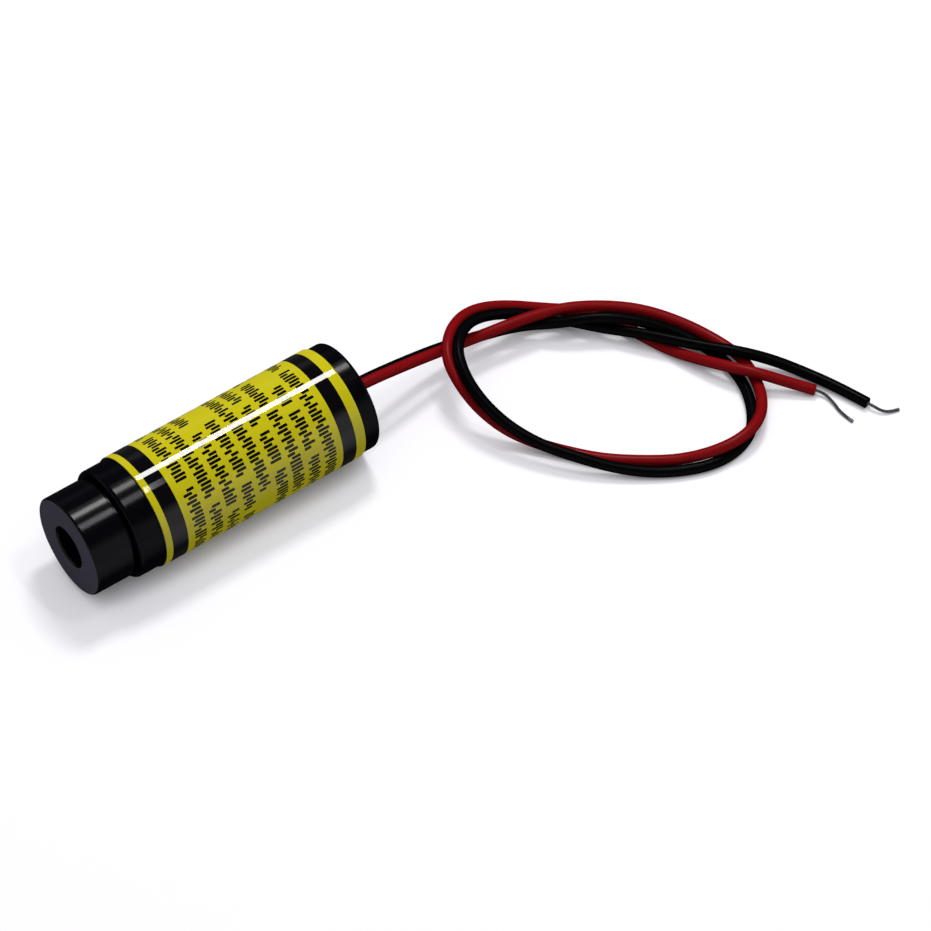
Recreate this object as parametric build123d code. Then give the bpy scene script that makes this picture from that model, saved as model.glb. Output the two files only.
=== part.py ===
from build123d import *
import math
import os

# Laser diode module with two loose lead wires.
# Millimetres. The beam leaves along +X, +Z is up, and the module lies on its side on the floor at Z = 0.
# The origin is under the middle of the module. Places along it are given as a distance back from its front.

# Driving sizes: body
module_length = 34.0
housing_radius = 6.0
housing_edge_round = 0.4
bore_wall = 1.4
cavity_wall = 1.7
plug_seat_wall = 1.2
plug_seat_depth = 2.8
mouth_chamfer = 0.2

# Driving sizes: front cap
nose_step = 0.55
nose_length = 4.35
nose_edge_round = 0.25
relief_depth = 0.45
relief_width = 0.45
aperture_radius = 2.2
aperture_depth = 2.0
aperture_chamfer = 0.2
spigot_wall = 1.2
spigot_length = 3.2

# Driving sizes: printed label and its clear sleeve
label_start = 7.7
label_rear_margin = 2.0
label_film = 0.08
label_seam_gap = 0.4
ink_film = 0.03
sleeve_film = 0.09
sleeve_overhang = 0.1
front_line_width = 0.75
front_band_width = 1.85
rear_band_width = 1.65
rear_line_width = 1.15
text_rows = 9
text_height = 1.3
text_margin = 0.5
words_in_row = (2.6, 4.4, 1.9, 5.2, 3.3, 4.0, 2.4)
word_gap = 1.0
row_shift = 37.0

# Driving sizes: optics
holder_length = 11.5
holder_web = 3.4
holder_wall = 0.65
cell_setback = 1.1
cell_length = 4.2
cell_wall = 0.88
cell_lip = 1.0
cell_lip_width = 0.77
cell_slot_width = 0.8
cell_slot_depth = 0.6
lens_edge = 1.2
lens_sag = 0.9
retainer_width = 0.57
retainer_thickness = 0.9
spring_wire_radius = 0.2
spring_turns = 3.0
spring_inset = 0.65

# Driving sizes: laser diode in its metal can
flange_radius = 2.8
flange_thickness = 1.2
flange_notch = 0.35
can_radius = 1.78
can_length = 2.3
can_wall = 0.2
can_window_radius = 0.8
window_radius = 1.25
window_thickness = 0.25
flange_recess = 0.3
post_radius = 1.2
post_length = 1.45
chip_size = (0.35, 0.3, 0.12)
lead_radius = 0.225
lead_circle_radius = 1.0
lead_angle = 30.0
lead_glass_radius = 0.36
lead_inside = 0.5

# Driving sizes: driver board and what is soldered on it
board_setback = 0.8
board_length = 8.5
board_thickness = 1.0
board_corner = 0.6
chip_body = (3.0, 3.4, 1.25)
chip_stand_off = 0.1
chip_leg = (0.36, 0.9, 0.2)
chip_leg_pitch = 0.8
chip_legs_per_side = 3
chip_offset = 0.35
chip_top_bevel = 0.27
brick_bevel = 0.08
capacitor_size = (0.9, 1.6, 0.85)
capacitor_places = ((2.15, 1.7, "left", "top"), (3.6, 1.8, "right", "bottom"))
resistor_size = (0.8, 1.6, 0.45)
resistor_places = ((2.15, 1.7, "right", "top"), (5.0, 1.8, "right", "bottom"), (6.4, 1.8, "right", "bottom"))
trimmer_size = (2.6, 2.6, 1.1)
trimmer_place = (5.2, -1.2)
trimmer_corner = 0.3
trimmer_seat_depth = 0.2
trimmer_rotor_radius = 0.9
trimmer_rotor_height = 0.3
trimmer_slot_width = 0.3
trimmer_slot_depth = 0.15
lead_joint_setback = 0.9
lead_joint_radii = (0.55, 0.25)
lead_tail = 0.1
wire_joint_radii = (0.66, 0.28)
joint_height = 0.62

# Driving sizes: lead wires, out of the plug's two holes
wire_radius = 0.6
core_radius = 0.25
strand_radius = 0.15
plug_length = 2.4
plug_edge_round = 0.25
red_exit = (0.2, 0.7)
black_exit = (-0.75, -0.1)
pad_setback = 0.9
red_pad_y = 1.5
black_pad_y = -1.9
board_end_straight = 0.3
board_end_bend = 0.3

# Fits, all radial or face to face
press_gap = 0.01
slip_gap = 0.05
seat_gap = 0.02
wire_hole_gap = 0.02

# How far a cutting shape runs past what it cuts, how exactly an edge is found by its place and radius,
# and the share of a wall that an edge may round
cutting_margin = 1.0
edge_tolerance = 0.001
round_share = 0.45

# Derived radii, each a wall or a step inside the one before
bore_radius = housing_radius - bore_wall
cavity_radius = housing_radius - cavity_wall
plug_seat_radius = housing_radius - plug_seat_wall
nose_radius = housing_radius - nose_step
relief_radius = nose_radius - relief_depth
cap_inner_radius = bore_radius - spigot_wall
thread_radius = bore_radius - holder_wall
lens_radius = thread_radius - cell_wall
cell_lip_radius = lens_radius - cell_lip_width
retainer_radius = lens_radius - retainer_width
spring_coil_radius = thread_radius - spring_inset

# Derived places
front = module_length / 2
sleeve_inner_radius = housing_radius + label_film + ink_film
sleeve_radius = sleeve_inner_radius + sleeve_film
axis_height = sleeve_radius
collar_start = nose_length + relief_width
cap_end = collar_start + spigot_length
holder_start = cap_end + seat_gap
holder_end = holder_start + holder_length
web_start = holder_end - holder_web
cell_start = holder_start + cell_setback
cell_end = cell_start + cell_length
lip_start = cell_end - cell_lip
flange_start = holder_end - flange_thickness - flange_recess
flange_end = flange_start + flange_thickness
plug_start = module_length - plug_seat_depth
label_end = module_length - label_rear_margin
board_start = holder_end + board_setback
board_end = board_start + board_length
lead_end = board_start + lead_joint_setback + lead_joint_radii[0] + lead_tail
chip_place = board_length / 2 + chip_offset
post_flat = -chip_size[2]
board_top = lead_circle_radius * math.sin(math.radians(lead_angle)) - lead_radius - seat_gap
board_bottom = board_top - board_thickness
board_half_width = math.sqrt((cavity_radius - slip_gap) ** 2 - board_bottom ** 2)
lens_curve = (lens_radius ** 2 + lens_sag ** 2) / (2 * lens_sag)
lens_front_edge = lip_start - seat_gap - lens_edge
text_start = label_start + front_line_width + front_band_width + text_margin
text_end = label_end - rear_line_width - rear_band_width - text_margin
row_pitch = (text_end - text_start) / text_rows

# The wires' routes, chosen by hand: X and Y from the origin, height above the floor
red_route = [
    (-14.0, 0.2, 6.9), (-18.5, 0.2, 6.9), (-23.8, 0.0, 5.9), (-29.0, -0.4, 4.4), (-34.0, -0.2, 3.6),
    (-38.7, 0.4, 3.5), (-43.2, 1.3, 3.2), (-47.2, 3.0, 2.7), (-50.6, 5.4, 2.1), (-53.3, 8.6, 1.3),
    (-55.1, 12.2, 0.7), (-55.8, 16.0, 0.65), (-55.2, 19.1, 0.65), (-53.8, 22.1, 1.2), (-51.5, 24.6, 2.0),
    (-48.6, 25.6, 2.1), (-45.3, 25.0, 1.6), (-42.1, 23.2, 0.85), (-38.9, 20.8, 0.65), (-35.8, 18.3, 0.65),
    (-33.2, 15.2, 0.65), (-31.1, 12.4, 0.9), (-29.4, 9.9, 1.8), (-28.3, 7.2, 3.1), (-27.9, 4.6, 4.5),
    (-28.3, 1.7, 5.55), (-30.2, -0.7, 5.85), (-33.1, -2.7, 4.8), (-36.1, -3.5, 3.5), (-39.5, -3.1, 2.0),
    (-43.0, -1.2, 0.9), (-45.9, 0.9, 0.65), (-47.8, 4.0, 0.65), (-48.7, 7.7, 0.65), (-50.1, 11.0, 0.7),
    (-51.4, 14.3, 1.4), (-53.1, 17.2, 2.1), (-54.9, 19.6, 2.2), (-57.1, 21.8, 1.35), (-59.2, 24.0, 0.65),
]
black_route = [
    (-14.0, -0.75, 6.1), (-18.5, -0.75, 6.1), (-23.9, -1.4, 4.6), (-29.8, -1.8, 3.0), (-34.6, -1.4, 2.0),
    (-39.1, -0.3, 1.7), (-42.4, 2.5, 2.5), (-46.1, 4.3, 2.75), (-49.5, 6.7, 2.1), (-52.4, 9.8, 1.1),
    (-53.9, 13.4, 0.65), (-54.1, 17.0, 0.65), (-53.4, 20.2, 0.65), (-51.9, 23.0, 0.65), (-49.9, 25.0, 0.65),
    (-46.9, 25.9, 0.65), (-43.6, 25.5, 0.65), (-39.6, 23.5, 0.65), (-36.2, 20.8, 1.1), (-33.4, 17.8, 1.9),
    (-31.0, 14.5, 2.4), (-29.4, 11.2, 3.2), (-28.5, 8.0, 4.4), (-28.4, 4.9, 5.65), (-29.4, 1.9, 6.4),
    (-31.6, -0.2, 6.3), (-34.3, -1.3, 5.3), (-37.8, -1.5, 3.4), (-41.4, -0.8, 1.35), (-44.1, 1.6, 0.8),
    (-46.0, 4.9, 1.5), (-47.8, 7.8, 1.9), (-50.1, 10.7, 2.1), (-52.8, 13.4, 2.1), (-55.2, 16.0, 2.1),
    (-57.7, 18.6, 1.4), (-59.7, 21.4, 0.7), (-61.3, 24.9, 0.65), (-62.5, 28.5, 0.65),
]

# The stripped ends: a few twisted strands that carry on from the insulation and droop to the floor
red_bare_route = [
    (-59.2, 24.0, 0.65), (-59.81, 24.63, 0.45), (-59.9, 26.2, 0.3), (-59.7, 27.7, 0.2), (-60.0, 29.3, 0.17),
]
black_bare_route = [
    (-62.5, 28.5, 0.65), (-62.75, 29.25, 0.65), (-63.2, 30.15, 0.4), (-64.0, 30.6, 0.22), (-64.9, 30.8, 0.17),
]

# The share of its shorter run that an arc on a route takes up, on each side of its point
arc_share = 0.45


def at(distance):
    """X of a place that lies this far behind the module's front."""
    return front - distance


def on_axis(shape):
    """Lifts a shape made round the X axis to the module's own axis."""
    return Pos(0, 0, axis_height) * shape


def spun(outline, arc=360.0):
    """A half section, as distance behind the front and radius, spun round the X axis from the top."""
    points = [(at(distance), radius) for distance, radius in outline]
    section = Plane.XZ * make_face(Polyline(*points, close=True))
    return revolve(section, axis=Axis.X, revolution_arc=arc)


def turned(outline):
    """A turned piece, on the module's own axis."""
    return on_axis(spun(outline))


def rim(solid, distance, radius):
    """The round edges of a turned piece at one place and one radius."""
    chosen = []
    for edge in solid.edges().filter_by(GeomType.CIRCLE):
        here = abs(edge.arc_center.X - at(distance)) < edge_tolerance
        if here and abs(edge.radius - radius) < edge_tolerance:
            chosen.append(edge)
    return chosen


def rod(start, end, radius, y=0.0, z=0.0):
    """A straight round bar along X between two distances behind the front."""
    length = end - start
    bar = Rot(0, 90, 0) * Cylinder(radius, length)
    return on_axis(Pos(at((start + end) / 2), y, z) * bar)


def block(centre, size):
    """A plain block whose centre is a distance behind the front and an offset from the axis."""
    distance, y, z = centre
    return on_axis(Pos(at(distance), y, z) * Box(*size))


def make_housing():
    """The black tube: stepped bore for the optics, narrower cavity for the board, seat for the plug."""
    tube = turned([
        (collar_start, bore_radius), (collar_start, housing_radius),
        (module_length, housing_radius), (module_length, plug_seat_radius),
        (plug_start, plug_seat_radius), (plug_start, cavity_radius),
        (holder_end + seat_gap, cavity_radius), (holder_end + seat_gap, bore_radius),
    ])
    front_round = min(housing_edge_round, round_share * (bore_wall - mouth_chamfer))
    rear_round = min(housing_edge_round, round_share * plug_seat_wall)
    tube = fillet(rim(tube, collar_start, housing_radius), front_round)
    tube = fillet(rim(tube, module_length, housing_radius), rear_round)
    tube = chamfer(rim(tube, collar_start, bore_radius), mouth_chamfer)
    return tube


def make_front_cap():
    """The nose with the beam's hole, a relief groove behind it, and the spigot pressed in the housing."""
    spigot = bore_radius - press_gap
    cap = turned([
        (0, aperture_radius), (0, nose_radius), (nose_length, nose_radius), (nose_length, relief_radius),
        (collar_start - seat_gap, relief_radius), (collar_start - seat_gap, spigot),
        (cap_end, spigot), (cap_end, cap_inner_radius),
        (aperture_depth, cap_inner_radius), (aperture_depth, aperture_radius),
    ])
    cap = fillet(rim(cap, 0, nose_radius), nose_edge_round)
    cap = chamfer(rim(cap, 0, aperture_radius), aperture_chamfer)
    cap = fillet(rim(cap, nose_length, nose_radius), nose_edge_round / 2)
    cap = chamfer(rim(cap, cap_end, spigot), mouth_chamfer)
    return cap


def make_label():
    """The yellow film, wrapped once round the housing with its two ends meeting underneath."""
    outer = housing_radius + label_film
    gap_angle = math.degrees(label_seam_gap / outer)
    film = spun([
        (label_start, housing_radius), (label_start, outer), (label_end, outer), (label_end, housing_radius),
    ], 360.0 - gap_angle)
    return on_axis(Rot(180 - gap_angle / 2, 0, 0) * film)


def printed_patch(start, width, angle, arc):
    """One patch of ink on the label, from a place along it and an angle round it from the top."""
    inner = housing_radius + label_film
    outer = inner + ink_film
    patch = spun([(start, inner), (start, outer), (start + width, outer), (start + width, inner)], arc)
    return on_axis(Rot(angle, 0, 0) * patch)


def make_label_print():
    """The dark ink: two bands that frame the label, and rows of word-long dashes that run round it."""
    patches = [
        printed_patch(label_start + front_line_width, front_band_width, 0, 360.0),
        printed_patch(label_end - rear_line_width - rear_band_width, rear_band_width, 0, 360.0),
    ]
    degrees_per_mm = math.degrees(1 / (housing_radius + label_film))
    for row in range(text_rows):
        start = text_start + row * row_pitch + (row_pitch - text_height) / 2
        angle = row_shift * row
        for word in range(len(words_in_row)):
            length = words_in_row[(word + row) % len(words_in_row)]
            patches.append(printed_patch(start, text_height, angle, length * degrees_per_mm))
            angle += (length + word_gap) * degrees_per_mm
    return patches


def make_clear_sleeve():
    """The clear shrunk sleeve over the label, which gives the barrel its gloss."""
    start = label_start - sleeve_overhang
    end = label_end + sleeve_overhang
    return turned([
        (start, sleeve_inner_radius), (start, sleeve_radius), (end, sleeve_radius), (end, sleeve_inner_radius),
    ])


def make_diode_holder():
    """The brass core: threaded bore for the lens cell in front, stepped seat for the diode behind."""
    outer = bore_radius - press_gap
    holder = turned([
        (holder_start, thread_radius), (holder_start, outer), (holder_end, outer),
        (holder_end, flange_radius + press_gap), (flange_start - seat_gap, flange_radius + press_gap),
        (flange_start - seat_gap, can_radius + slip_gap), (web_start, can_radius + slip_gap),
        (web_start, thread_radius),
    ])
    holder = chamfer(rim(holder, holder_start, outer), mouth_chamfer)
    return chamfer(rim(holder, holder_end, outer), mouth_chamfer)


def make_lens_cell():
    """The threaded cell that carries the lens, with two slots in front for the focusing key."""
    outer = thread_radius - slip_gap
    seat = lens_radius + slip_gap
    cell = turned([
        (cell_start, seat), (cell_start, outer), (cell_end, outer), (cell_end, cell_lip_radius),
        (lip_start, cell_lip_radius), (lip_start, seat),
    ])
    slot_length = 2 * (outer + cutting_margin)
    slot = block((cell_start + cell_slot_depth / 2, 0, 0), (cell_slot_depth, slot_length, cell_slot_width))
    return cell - slot


def make_lens():
    """The collimating lens, flat towards the diode and domed towards the beam's hole."""
    back = lip_start - seat_gap
    top = lens_front_edge - lens_sag
    middle_radius = lens_radius / 2
    middle = top + lens_curve - math.sqrt(lens_curve ** 2 - middle_radius ** 2)
    dome = ThreePointArc((at(top), 0), (at(middle), middle_radius), (at(lens_front_edge), lens_radius))
    rest = Polyline((at(lens_front_edge), lens_radius), (at(back), lens_radius), (at(back), 0), (at(top), 0))
    section = Plane.XZ * make_face(Curve() + [dome, rest])
    return on_axis(revolve(section, axis=Axis.X))


def make_lens_retainer():
    """The ring that holds the lens down on the cell's lip."""
    drop = lens_curve - math.sqrt(lens_curve ** 2 - retainer_radius ** 2)
    end = lens_front_edge - lens_sag + drop - seat_gap
    start = end - retainer_thickness
    outer = lens_radius + slip_gap - press_gap
    return turned([(start, retainer_radius), (start, outer), (end, outer), (end, retainer_radius)])


def make_focus_spring():
    """The coil spring between the diode's web and the lens cell, which takes up the thread's play."""
    first = cell_end + seat_gap + spring_wire_radius
    last = web_start - seat_gap - spring_wire_radius
    height = last - first
    path = Helix(height / spring_turns, height, spring_coil_radius)
    wire = sweep(Plane(path @ 0, z_dir=path % 0) * Circle(spring_wire_radius), path, is_frenet=True)
    return on_axis(Pos(at(last), 0, 0) * Rot(0, 90, 0) * wire)


def lead_places():
    """The three leads' offsets from the axis, and whether each is sealed in glass."""
    rise = lead_circle_radius * math.sin(math.radians(lead_angle))
    reach = lead_circle_radius * math.cos(math.radians(lead_angle))
    return [(reach, rise, True), (-reach, rise, True), (0.0, -lead_circle_radius, False)]


def make_diode_base():
    """The diode's steel base, with the post that carries the chip and three notches in its rim."""
    post_middle = flange_start - post_length / 2
    above_flat = block((post_middle, 0, post_flat + post_radius), (post_length, 2 * post_radius, 2 * post_radius))
    base = rod(flange_start, flange_end, flange_radius)
    base = base + (rod(flange_start - post_length, flange_start, post_radius) - above_flat)
    for y, z, sealed in lead_places():
        if sealed:
            base = base - rod(flange_start - post_length, flange_end, lead_glass_radius + press_gap, y, z)
    for angle in (0, 90, 180):
        y = flange_radius * math.cos(math.radians(angle))
        z = flange_radius * math.sin(math.radians(angle))
        middle = (flange_start + flange_end) / 2
        base = base - block((middle, y, z), (flange_thickness, flange_notch, flange_notch))
    return base


def make_laser_chip():
    """The laser chip, on the post's flat, with its front facet flush with the post's end."""
    length, width, height = chip_size
    return block((flange_start - post_length + length / 2, 0, post_flat + height / 2), chip_size)


def make_diode_can():
    """The diode's drawn metal can, closed in front but for the window's hole."""
    start = flange_start - can_length
    inner = can_radius - can_wall
    return turned([
        (start, can_window_radius), (start, can_radius), (flange_start, can_radius), (flange_start, inner),
        (start + can_wall, inner), (start + can_wall, can_window_radius),
    ])


def make_diode_window():
    """The glass disc sealed behind the can's hole."""
    start = flange_start - can_length + can_wall
    return rod(start, start + window_thickness, window_radius)


def make_diode_leads():
    """The three leads: two run through the base, and the earthed one is welded to its back."""
    leads = []
    for y, z, sealed in lead_places():
        start = flange_start - lead_inside if sealed else flange_end
        leads.append(rod(start, lead_end, lead_radius, y, z))
    return leads


def make_lead_seals():
    """The glass sleeves that keep two of the leads apart from the base."""
    seals = []
    for y, z, sealed in lead_places():
        if sealed:
            ring = rod(flange_start, flange_end, lead_glass_radius, y, z)
            seals.append(ring - rod(flange_start, flange_end, lead_radius, y, z))
    return seals


def make_driver_board():
    """The driver's circuit board, as wide as the cavity lets it be."""
    middle = ((board_start + board_end) / 2, 0, (board_top + board_bottom) / 2)
    board = block(middle, (board_length, 2 * board_half_width, board_thickness))
    return chamfer(board.edges().filter_by(Axis.Z), board_corner)


def make_driver_chip():
    """The driver's moulded body, on the board's top, with its upper long edges bevelled."""
    body = block((board_start + chip_place, 0, board_top + chip_stand_off + chip_body[2] / 2), chip_body)
    return chamfer(body.edges().filter_by(Axis.X).sort_by(Axis.Z)[-2:], chip_top_bevel)


def make_chip_legs():
    """The driver's gull-wing legs, three on each side."""
    legs = []
    leg_width, leg_reach, leg_thickness = chip_leg
    half = chip_body[1] / 2
    knee = chip_stand_off + chip_body[2] / 3
    for side in (-1, 1):
        for number in range(chip_legs_per_side):
            place = board_start + chip_place + (number - (chip_legs_per_side - 1) / 2) * chip_leg_pitch
            foot = block(
                (place, side * (half + leg_reach / 2), board_top + leg_thickness / 2),
                (leg_width, leg_reach, leg_thickness),
            )
            rise = block(
                (place, side * (half + leg_thickness / 2), board_top + knee / 2),
                (leg_width, leg_thickness, knee),
            )
            legs.append(foot + rise)
    return legs


def soldered_bricks(places, size):
    """Small square-ended ceramic parts, soldered on the board's top or bottom face.

    Their places are a distance from the board's front and one in from the cavity's left or right side."""
    bricks = []
    for place, inset, side, face in places:
        y = cavity_radius - inset if side == "right" else inset - cavity_radius
        z = board_top + size[2] / 2 if face == "top" else board_bottom - size[2] / 2
        body = block((board_start + place, y, z), size)
        bricks.append(chamfer(body.edges().filter_by(Axis.Y), brick_bevel))
    return bricks


def trimmer_disc(radius, low, high):
    """An upright disc on the trimmer's own axis, between two depths below the board."""
    place, y = trimmer_place
    middle = board_bottom - (low + high) / 2
    return on_axis(Pos(at(board_start + place), y, middle) * Cylinder(radius, high - low))


def make_power_trimmer():
    """The square trimmer that sets the laser's current, with a round seat for its rotor."""
    place, y = trimmer_place
    height = trimmer_size[2]
    body = block((board_start + place, y, board_bottom - height / 2), trimmer_size)
    body = chamfer(body.edges().filter_by(Axis.Z), trimmer_corner)
    return body - trimmer_disc(trimmer_rotor_radius + press_gap, height - trimmer_seat_depth, height)


def make_trimmer_rotor():
    """The trimmer's rotor, which stands a little out of its seat, with a slot across it."""
    place, y = trimmer_place
    seat = trimmer_size[2] - trimmer_seat_depth
    tip = seat + trimmer_rotor_height
    slot_middle = board_bottom - tip + trimmer_slot_depth / 2
    slot = block(
        (board_start + place, y, slot_middle), (2 * trimmer_rotor_radius, trimmer_slot_width, trimmer_slot_depth)
    )
    return trimmer_disc(trimmer_rotor_radius, seat, tip) - slot


def make_board_end(exit_offset, pad_y):
    """A wire's bared inner end, formed up over the board's back edge and down on to its pad."""
    y, z = exit_offset
    start = front - red_route[0][0]
    height = board_top + core_radius + seat_gap
    points = [
        (at(start), y, z),
        (at(start) + board_end_straight, y, z),
        (at(board_end) - core_radius / 2, (y + 2 * pad_y) / 3, height),
        (at(board_end - pad_setback) + 2 * core_radius, pad_y, height),
    ]
    path = FilletPolyline(*points, radius=board_end_bend)
    section = Plane(path @ 0, z_dir=path % 0) * Circle(core_radius)
    return on_axis(sweep(section, path))


def solder_cone(distance, y, face, side, radii):
    """A cone of solder that stands on one face of the board."""
    cone = Cone(radii[0], radii[1], joint_height)
    if side < 0:
        cone = Rot(180, 0, 0) * cone
    return on_axis(Pos(at(distance), y, face + side * joint_height / 2) * cone)


def make_solder_joints(red_board_end, black_board_end):
    """Five joints: three round the diode's leads, and two over the wires' inner ends."""
    joints = []
    for y, z, sealed in lead_places():
        side = 1 if sealed else -1
        face = board_top if sealed else board_bottom
        cone = solder_cone(board_start + lead_joint_setback, y, face, side, lead_joint_radii)
        joints.append(cone - rod(flange_end, lead_end, lead_radius, y, z))
    for pad_y, end in ((red_pad_y, red_board_end), (black_pad_y, black_board_end)):
        cone = solder_cone(board_end - pad_setback, pad_y, board_top, 1, wire_joint_radii)
        joints.append(cone - end)
    return joints


def make_rear_plug():
    """The plug in the housing's back, with a hole for each wire."""
    plug = turned([
        (plug_start + seat_gap, 0), (plug_start + seat_gap, plug_seat_radius - press_gap),
        (plug_start + plug_length, plug_seat_radius - press_gap), (plug_start + plug_length, 0),
    ])
    plug = fillet(rim(plug, plug_start + plug_length, plug_seat_radius - press_gap), plug_edge_round)
    hole_start = plug_start - cutting_margin
    hole_end = plug_start + plug_length + cutting_margin
    for y, z in (red_exit, black_exit):
        plug = plug - rod(hole_start, hole_end, wire_radius + wire_hole_gap, y, z)
    return plug


def arc_radii(name, points):
    """The radius of each arc on a route: as large as its shorter run allows."""
    radii = []
    vectors = [Vector(*point) for point in points]
    for number in range(1, len(vectors) - 1):
        before = vectors[number] - vectors[number - 1]
        after = vectors[number + 1] - vectors[number]
        half_turn = math.radians(before.get_angle(after)) / 2
        radii.append(arc_share * min(before.length, after.length) / math.tan(half_turn))
    print(name, "arc radii", [round(radius, 1) for radius in radii])
    return radii


def make_cord(name, points, radius):
    """A round cord along straight runs and arcs, with its volume set against its section times its length."""
    path = FilletPolyline(*points, radius=arc_radii(name, points))
    section = Plane(path @ 0, z_dir=path % 0) * Circle(radius)
    cord = sweep(section, path)
    expected = math.pi * radius ** 2 * path.length
    print(name, "length", round(path.length, 1), "volume", round(cord.volume, 2), "expected", round(expected, 2))
    return cord


def write(name, shape):
    """Writes one piece, or a group of like pieces, to its own file."""
    if isinstance(shape, list):
        shape = Compound(children=shape)
    export_step(shape, os.path.join("parts", name + ".step"))


def main():
    os.makedirs("parts", exist_ok=True)
    red_board_end = make_board_end(red_exit, red_pad_y)
    black_board_end = make_board_end(black_exit, black_pad_y)
    pieces = {
        "housing": make_housing(),
        "front_cap": make_front_cap(),
        "label": make_label(),
        "label_print": make_label_print(),
        "clear_sleeve": make_clear_sleeve(),
        "diode_holder": make_diode_holder(),
        "lens_cell": make_lens_cell(),
        "collimating_lens": make_lens(),
        "lens_retainer": make_lens_retainer(),
        "focus_spring": make_focus_spring(),
        "diode_base": make_diode_base(),
        "laser_chip": make_laser_chip(),
        "diode_can": make_diode_can(),
        "diode_window": make_diode_window(),
        "diode_leads": make_diode_leads(),
        "lead_seals": make_lead_seals(),
        "driver_board": make_driver_board(),
        "driver_chip": make_driver_chip(),
        "chip_legs": make_chip_legs(),
        "capacitors": soldered_bricks(capacitor_places, capacitor_size),
        "resistors": soldered_bricks(resistor_places, resistor_size),
        "power_trimmer": make_power_trimmer(),
        "trimmer_rotor": make_trimmer_rotor(),
        "solder_joints": make_solder_joints(red_board_end, black_board_end),
        "rear_plug": make_rear_plug(),
        "red_board_end": red_board_end,
        "black_board_end": black_board_end,
        "red_wire": make_cord("red wire", red_route, wire_radius),
        "black_wire": make_cord("black wire", black_route, wire_radius),
        "red_bare_end": make_cord("red bare end", red_bare_route, strand_radius),
        "black_bare_end": make_cord("black bare end", black_bare_route, strand_radius),
    }
    for name, shape in pieces.items():
        write(name, shape)


main()
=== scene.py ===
# %% [markdown]
# Laser diode module with two loose lead wires.
# The barrel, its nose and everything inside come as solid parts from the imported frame. This script
# gives each of them its finish, wraps the barrel in its printed film, lays the two wires on the
# floor and lights the whole like a small product on a white table.
# Every length below is in metres, because the frame is. The name mm keeps the numbers readable.

import math

import bmesh
import bpy
from mathutils import Matrix, Vector


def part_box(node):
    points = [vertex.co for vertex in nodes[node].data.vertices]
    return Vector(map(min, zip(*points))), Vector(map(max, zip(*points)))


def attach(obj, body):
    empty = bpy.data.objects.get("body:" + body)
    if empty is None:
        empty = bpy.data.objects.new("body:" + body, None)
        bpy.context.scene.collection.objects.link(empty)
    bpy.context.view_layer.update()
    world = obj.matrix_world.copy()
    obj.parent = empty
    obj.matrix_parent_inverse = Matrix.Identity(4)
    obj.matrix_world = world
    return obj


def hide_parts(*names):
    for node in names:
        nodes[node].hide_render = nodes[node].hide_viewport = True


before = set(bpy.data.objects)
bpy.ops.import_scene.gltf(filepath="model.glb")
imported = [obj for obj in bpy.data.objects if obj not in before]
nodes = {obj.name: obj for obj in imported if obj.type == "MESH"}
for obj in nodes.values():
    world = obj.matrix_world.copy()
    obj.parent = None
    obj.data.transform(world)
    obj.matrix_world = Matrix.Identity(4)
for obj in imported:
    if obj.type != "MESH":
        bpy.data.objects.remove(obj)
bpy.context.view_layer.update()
mm = 0.001
print("parts in the frame:", len(nodes))

# %% [markdown]
# The barrel's own measures.
# Any piece that is wrapped round the barrel needs its axis and its radii. They are read from the
# parts' boxes, so that the film still fits if the barrel is ever made thicker or longer. The wires
# widen the whole object's box, which is why the boxes of single parts are asked for here.

# %% Measure the barrel
sleeve_low, sleeve_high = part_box("clear_sleeve")
label_low, label_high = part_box("label")
housing_low, housing_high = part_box("housing")
front_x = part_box("front_cap")[1].x
axis_z = (sleeve_low.z + sleeve_high.z) / 2
sleeve_radius = (sleeve_high.z - sleeve_low.z) / 2
housing_radius = (housing_high.z - housing_low.z) / 2
print("barrel radius in mm:", round(sleeve_radius / mm, 3), "axis height in mm:", round(axis_z / mm, 3))

# %% [markdown]
# The camera.
# The photograph looks down steeply on the module from its front left, through a long lens, so that
# the barrel's far end is hardly smaller than its near end. A camera is easiest to place by the point
# of the floor in the middle of the picture, the two angles of the line of sight, and the distance.
# The angles and the distance were worked out from the ellipses of the barrel's two ends.

# %% Place the camera
look_at = Vector((-24.3 * mm, 10.56 * mm, 0.0))
look_down = math.radians(50.78)
look_bearing = math.radians(54.17)
look_distance = 594.0 * mm
towards_camera = Vector((
    math.cos(look_down) * math.cos(look_bearing),
    math.cos(look_down) * math.sin(look_bearing),
    math.sin(look_down),
))
camera_data = bpy.data.cameras.new("camera")
camera_data.sensor_width = 36.0
camera_data.lens = 224.18
camera_data.clip_start = 0.01
camera = bpy.data.objects.new("camera", camera_data)
camera.location = look_at + towards_camera * look_distance
camera.rotation_euler = (-towards_camera).to_track_quat("-Z", "Y").to_euler()
bpy.context.scene.collection.objects.link(camera)
bpy.context.scene.camera = camera
print("camera at, in mm:", [round(value / mm, 1) for value in camera.location])
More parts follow.
